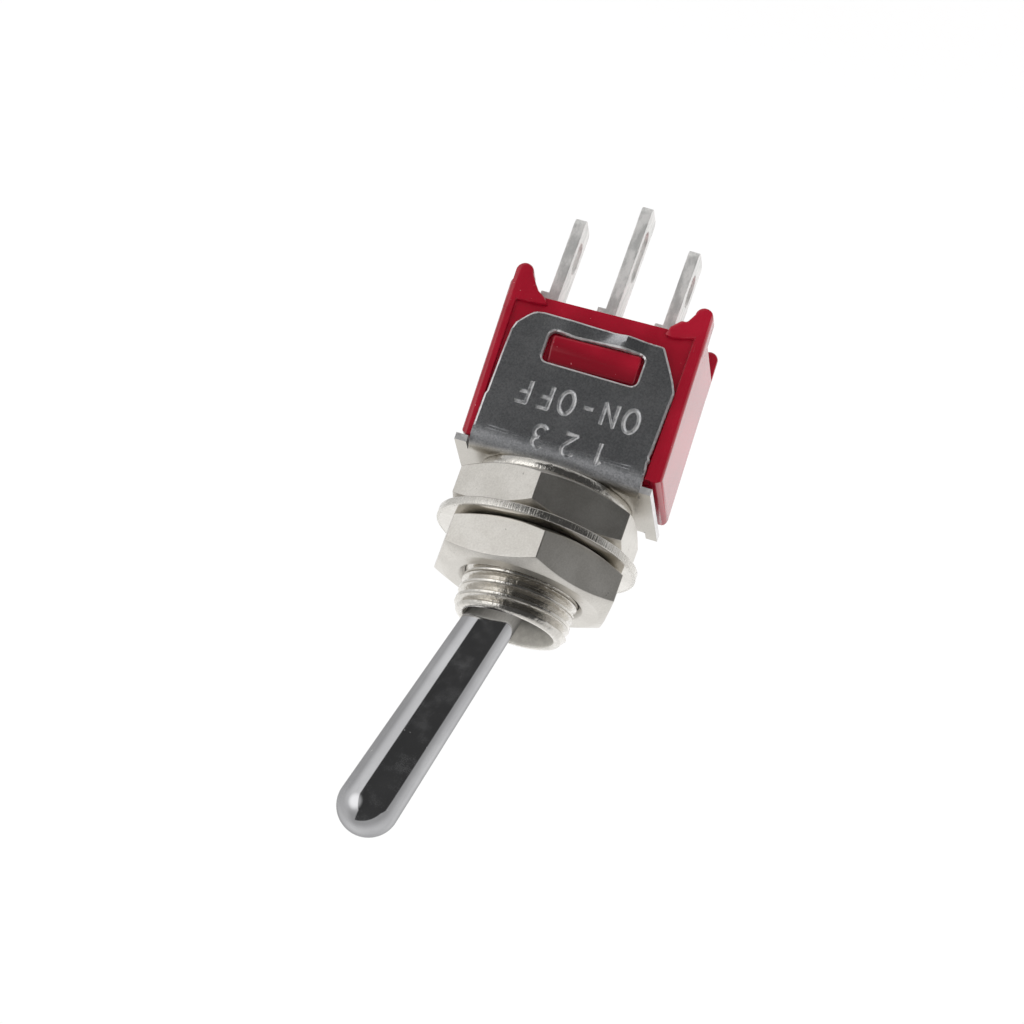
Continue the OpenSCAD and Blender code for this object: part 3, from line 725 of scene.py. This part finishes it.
def makeBracket(v):
    zone = v["depth"] - v["fold"] + v["arc"] - v["fold"]
    bm = flatSheet(v, zone)
    # a band along the panel's outline, sunk by drop into a rolled edge, takes the bright cut-edge
    # finish: a real rolled edge with a painted highlight along it
    band = bmesh.ops.inset_region(bm, faces=bm.faces[:], thickness=v["rim"], use_boundary=True,
                                  use_even_offset=True)
    for face in band["faces"]:
        face.material_index = int(abs(face.calc_center_median().y) > zone + v["rimFrom"] + 0.05)
    addRows(v, bm, zone)
    outwards(bm)
    if bm.faces[0].normal.z < 0:
        bmesh.ops.reverse_faces(bm, faces=bm.faces)
    border = {p for e in bm.edges if e.is_boundary for p in e.verts
              if abs(p.co.y) > zone + v["rimFrom"]}
    extrude(bm, -v["thick"])
    bmesh.ops.translate(bm, vec=(0, 0, -v["drop"]), verts=list(border))
    outwards(bm)
    for face in bm.faces:
        if abs(face.normal.z) < 0.3:
            face.material_index = 1
    for vert in bm.verts:
        x, t, z = vert.co
        place = foldSheet(v, vert.co)
        place.y += (1 if t > 0 else -1) * dent(v, x, z, abs(t) - zone)
        vert.co = place
    outwards(bm)
    bm = cutOrJoin(bm, stampedStrokes(stamp, -v["depth"]), "DIFFERENCE")
    return finishPiece(bm, "foldedBracket", satinSheet, "switch_body", ["bracket"], 22,
                       weighted=False, second=shearedEdge)


makeBracket(sheet)


# case, built up from outlines

case = {
    "length": 8.70, "depth": 5.24, "waist": 4.8, "rail": 0.463, "base": -7.34, "top": -0.54,
    "middle": -3.94, "shift": -0.05, "lean": 1.8, "corner": 0.30, "edge": 0.06,
    "endRound": 0.32, "wedge": 0.27, "bevel": 0.25, "proud": 0.004,
    "foot": 1.24, "footR": 0.38, "footDepth": (1.1, 0.35), "footIn": 0.09, "footEdge": 0.09,
    "footTop": 0.9, "footStep": (-0.3, -0.42), "footInner": (0.2, 0.42),
    "gusset": {  # from the foot's outer side and the case's base, by end and side of the case
        (1, -1): ((-1, -0.44), (-1.2, -0.16), (-1.55, 0.08), (-1.75, 0.36), (-1.4, 0.42)),
        (-1, -1): ((-1, -0.44), (-1.23, -0.44), (-1.62, -0.06), (-1.75, 0.36), (-1.4, 0.42)),
        (1, 1): ((-0.88, 0.2),), (-1, 1): ((-0.88, 0.2),),
    },
    "bossX": (-2.03, 1.85), "bossZ": (-5.74, -4.46), "bossOut": (0.38, 0.16),
    "bossStep": 0.62, "bossEdge": 0.15,
    "walls": (0.70, 0.65, 1.90), "slots": (2.78, 0.24, -2.30),
    "slot": (0.60, 1.92), "slotZ": (-9.4, -1), "pocket": (1.18, 2.50), "pocketZ": (-6.24, -5.14),
}


def solidFrom(outline, depth, upright=False, width=0.0, degrees=40, segments=2):
    bm = newShape([(x, y, 0) for x, y in outline])
    bmesh.ops.triangle_fill(bm, use_beauty=True, use_dissolve=False, edges=bm.edges[:])
    bmesh.ops.dissolve_limit(bm, angle_limit=0.01, verts=bm.verts, edges=bm.edges)
    outwards(bm)
    if bm.faces[0].normal.z > 0:
        bmesh.ops.reverse_faces(bm, faces=bm.faces)
    extrude(bm, depth)
    outwards(bm)
    if width:
        soften(bm, width, sharpEdges(bm, degrees), segments)
    if upright:  # the outline stands up, and the depth runs towards +Y
        rotate(bm, 90, "X")
        move(bm, (0, depth, 0))
    return bm


def block(low, high):
    bm = bmesh.new()
    bmesh.ops.create_cube(bm, size=1)
    move(bm, (0.5, 0.5, 0.5))
    stretch(bm, [b - a for a, b in zip(low, high)])
    move(bm, low)
    return bm


def mirrored(points):  # carried on to the other side of Y
    return points + [(-x, y) for x, y in points[::-1]]


def bothWays(points):  # and to the other side of X
    return points + [(-x, -y) for x, y in points]


def makeFoot(v, s, t, corner):  # s and t say at which end and side of the case
    h, d, base, proud = v["length"] / 2, v["depth"] / 2, v["base"] - v["middle"], v["proud"]
    inner, out, r = h - v["rail"] - proud, h + proud, v["footR"]
    f, tip = h - (v["footIn"] if s > 0 else 0), base - v["foot"] + r
    head, (step, under) = base + v["footTop"], v["footStep"]
    outline = [(inner, head), (out, head), (out, base + step), (f, base + under)]
    outline += arc(f - r, tip, r, r, 0, -180, 14)
    outline += [(f + x, base + z) for x, z in v["gusset"][s, t]]
    outline += [(inner, base + v["footInner"][s > 0])]
    deep = v["footDepth"][t > 0]
    foot = solidFrom(outline, deep, upright=True, width=v["footEdge"])
    move(foot, (0, d + proud - deep, 0))
    stretch(foot, (s, t, 1))
    outwards(foot)
    column = solidFrom(bothWays(mirrored(corner)), 8)
    stretch(column, (out / h, 1 + proud / d, 1))
    move(column, (0, 0, base - 2))
    return cutOrJoin(foot, column, "INTERSECT")


def makeBoss(v, t):  # t says on which side of the case
    w, (x0, x1), (foot, head) = v["waist"] / 2, v["bossX"], v["bossOut"]
    low, high = [z - v["middle"] for z in v["bossZ"]]
    outline = [(w - 0.5, low), (w + foot, low), (w + foot, low + v["bossStep"]),
               (w + head, high), (w - 0.5, high)]
    boss = solidFrom(outline, x1 - x0, width=v["bossEdge"], degrees=12, segments=5)
    matrix = Matrix(((0, 0, 1, x0), (1, 0, 0, 0), (0, 1, 0, 0), (0, 0, 0, 1)))
    bmesh.ops.transform(boss, matrix=matrix, verts=boss.verts)
    stretch(boss, (1, t, 1))
    outwards(boss)
    return boss


def makeCase(v):
    h, d, w, r, e = v["length"] / 2, v["depth"] / 2, v["waist"] / 2, v["corner"], v["endRound"]
    q, base, top = h - v["rail"], v["base"] - v["middle"], v["top"] - v["middle"]
    corner = arc(h - r, d - r, r, r, 0, 90, 6)
    bm = solidFrom(bothWays(mirrored(corner + [(q, d), (q, w)])), top - base)
    for vert in bm.verts:  # the rail at -X stays beside the panel in spite of the case's lean
        if abs(vert.co.x + q) < 1e-4 and vert.co.z > 1:
            vert.co.x += v["wedge"]
    soften(bm, v["edge"], sharpEdges(bm, 40))
    move(bm, (0, 0, base))
    ends = [(h + 1, base - 1), (h + 1, top - e - 0.6), (h + 0.003, top - e - 0.3)]
    ends += arc(h - e, top - e, e, e, 0, 90, 8)  # the two upper ends are rounded
    shell = solidFrom(mirrored(ends), 2 * d + 2, upright=True)
    move(shell, (0, -d - 1, 0))
    bm = cutOrJoin(bm, shell, "INTERSECT")
    for t in (-1, 1):
        bevel = block((-q, -0.5, -0.5), (q, 0.5, 0.5))
        stretch(bevel, (1, v["bevel"] * math.sqrt(2), v["bevel"] * math.sqrt(2)))
        rotate(bevel, 45, "X")
        move(bevel, (0, t * w, top))
        bm = cutOrJoin(bm, bevel, "DIFFERENCE")
    for s in (-1, 1):
        for t in (-1, 1):
            bm = cutOrJoin(bm, makeFoot(v, s, t, corner), "UNION")
    for t in (-1, 1):
        bm = cutOrJoin(bm, makeBoss(v, t), "UNION")
    end, side, bottom = v["walls"]
    hollow = block((end - h, side - w, base + bottom), (h - end, w - side, 20))
    bm = cutOrJoin(bm, hollow, "DIFFERENCE")
    lean = Matrix.Rotation(-math.radians(v["lean"]), 4, "Y")
    bmesh.ops.transform(bm, matrix=Matrix.Translation((v["shift"], 0, v["middle"])) @ lean,
                        verts=bm.verts)
    for x in v["slots"]:
        for cut in ("slot", "pocket"):
            (wide, deep), (z0, z1) = v[cut], v[cut + "Z"]
            hole = block((x - wide / 2, -deep / 2, z0), (x + wide / 2, deep / 2, z1))
            bm = cutOrJoin(bm, hole, "DIFFERENCE")
    tidyShape(bm)
    return finishPiece(bm, "mouldedCase", redMoulding, "switch_body", ["case"], 40)


makeCase(case)


# terminals: copies of the solids, with their edges rounded

def roundedCopy(node, name, material, width):
    bm = bmesh.new()
    bm.from_mesh(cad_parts[node].data)
    stretch(bm, (1 / mm, 1 / mm, 1 / mm))
    bmesh.ops.remove_doubles(bm, verts=bm.verts, dist=1e-4)
    bmesh.ops.dissolve_limit(bm, angle_limit=math.radians(0.5), verts=bm.verts, edges=bm.edges)
    soften(bm, width, sharpEdges(bm, 38))
    outwards(bm)
    return finishPiece(bm, name, material, "switch_body", [node], 45)


for letter in ("throw_a", "common", "throw_b"):
    roundedCopy("terminal_" + letter, "lug_" + letter, silverPlate, 0.03)


# pieces inside, which keep their shape and are given a finish

inner = {
    "pivot_pin": makePlain("plainSteel", (0.50, 0.50, 0.50), (0.62, 0.62, 0.62),
                           rough=0.25, metallic=1.0),
    "plunger": makePlain("naturalNylon", (0.72, 0.69, 0.58), (0.82, 0.80, 0.70), rough=0.45),
    "rocker": makePlain("springBronze", (0.60, 0.42, 0.20), (0.78, 0.60, 0.33),
                        rough=0.28, metallic=1.0),
    "terminal_seal": makePlain("castResin", (0.05, 0.04, 0.035), (0.10, 0.08, 0.06),
                               rough=0.4, size=0.6, depth=0.01),
}
for node in ("rocker_contact_a", "rocker_contact_b", "fixed_contact_a", "fixed_contact_b"):
    inner[node] = silverPlate
for node, material in inner.items():
    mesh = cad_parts[node].data
    mesh.materials.clear()
    mesh.materials.append(material)
print("inner pieces finished")


# spring behind the plunger

spring = {"wire": 0.16, "radius": 0.51, "turns": 6, "low": -3.61, "high": -1.99, "press": 0.4}


def makeSpring(v):
    steps, rise = 16 * v["turns"], v["high"] - v["low"]
    bm = bmesh.new()
    bmesh.ops.create_circle(bm, segments=10, radius=v["wire"] / 2)
    rotate(bm, 90, "X")
    move(bm, (v["radius"], 0, v["low"]))
    spin(bm, full * v["turns"], steps, rise / steps)
    bmesh.ops.holes_fill(bm, edges=[e for e in bm.edges if e.is_boundary], sides=10)
    tidyShape(bm)
    turn = leverTurn(lever)
    bmesh.ops.transform(bm, matrix=turn, verts=bm.verts)
    wire = makePlain("springWire", (0.45, 0.45, 0.46), (0.60, 0.60, 0.62),
                     rough=0.3, metallic=1.0, size=0.1)
    piece = finishPiece(bm, "coilSpring", wire, "lever_body", ["plunger_spring"],
                        weighted=False)
    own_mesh(piece)


makeSpring(spring)


# floor, and light from all round with a dark room behind the camera

studio = {
    "edges": {  # the dark opening that the shiny pieces mirror, as planes seen from the camera
        "left": ((0.806, 0.048, 0.589), (0.747, -0.555, 0.367)),
        "low": ((-0.283, 0.614, 0.737), (0.0, 0.825, 0.565)),
        "right": ((-0.242, 0.0, 0.970),) * 2, "top": ((0.0, -0.4226, 0.906),) * 2,
    },
    "soft": 0.03, "dark": 0.06, "level": 0.50,
    "floor": -30.0, "floorTone": (0.9, 0.9, 0.9, 1), "floorGlow": 0.12,
    "lamp": ((-0.735, 0.285, 0.615), 32, 8, 0.65),
    "glows": (  # direction, angles at which each starts and is full, strength
        ((-0.55, 0.55, 0.62), 63, 18, 0.45), ((0.20, -0.60, -0.77), 84, 41, 0.36),
        ((0.34, -0.09, -0.94), 50, 15, 0.30), ((-0.75, -0.2, -0.55), 60, 25, 0.18),
    ),
}


def addFloor(v):
    bm = bmesh.new()
    bmesh.ops.create_grid(bm, x_segments=1, y_segments=1, size=3.0)
    move(bm, (0, 0, v["floor"] * mm))
    floor = addObject("floor", meshFrom(bm, "floor"))
    material = bpy.data.materials.new("paleFloor")
    material.use_nodes = True
    tree = material.node_tree
    tree.nodes.remove(tree.nodes["Principled BSDF"])
    path = tree.nodes.new("ShaderNodeLightPath")
    camera, glossy, through = [Wire(tree, path.outputs["Is %s Ray" % kind])
                               for kind in ("Camera", "Glossy", "Transmission")]
    seen = camera + glossy + through
    matt = seen.node("BsdfDiffuse", {}, {"Color": v["floorTone"]})
    glow = seen.node("Emission", {}, {"Strength": seen * v["floorGlow"]})
    both = seen.node("AddShader", {}, {0: matt, 1: glow})
    tree.links.new(both.socket, tree.nodes["Material Output"].inputs["Surface"])
    floor.data.materials.append(material)
    floor.visible_glossy = False


def addWorld(v):
    world = bpy.data.worlds.new("studio")
    bpy.context.scene.world = world
    world.use_nodes = True
    tree = world.node_tree
    background = tree.nodes["Background"]
    path = tree.nodes.new("ShaderNodeLightPath")
    glossy = Wire(tree, path.outputs["Is Glossy Ray"])
    ray = Wire(tree, tree.nodes.new("ShaderNodeTexCoord").outputs["Generated"])
    right, up, back = viewAxes(view)

    def along(x, y, z):  # how far the ray goes in a direction that is given as seen from the camera
        way = (right * x + up * y + back * z).normalized()
        return ray.node("VectorMath", {"operation": "DOT_PRODUCT"}, {0: ray, 1: way}, out=1)

    def glow(way, wide, narrow, gain):
        low, high = [math.cos(math.radians(angle)) for angle in (wide, narrow)]
        return along(*way).spread(low, high) * gain

    opening = None
    for first, second in v["edges"].values():
        edge = ray.maths("MAXIMUM", along(*first), along(*second))
        opening = ray.maths("MINIMUM", opening, edge) if opening else edge
    dark = opening.spread(-v["soft"], v["soft"])
    bright = v["level"]
    for values in v["glows"]:
        bright = glow(*values) + bright
    level = bright * (1 - dark) + dark * v["dark"] + glow(*v["lamp"])
    strength = 1 + (level - 1) * glossy
    tree.links.new(strength.socket, background.inputs["Strength"])
    background.inputs["Color"].default_value = (1, 1, 1, 1)


addFloor(studio)
addWorld(studio)

scene = bpy.context.scene
scene.view_settings.view_transform = "Standard"
print("scene ready")
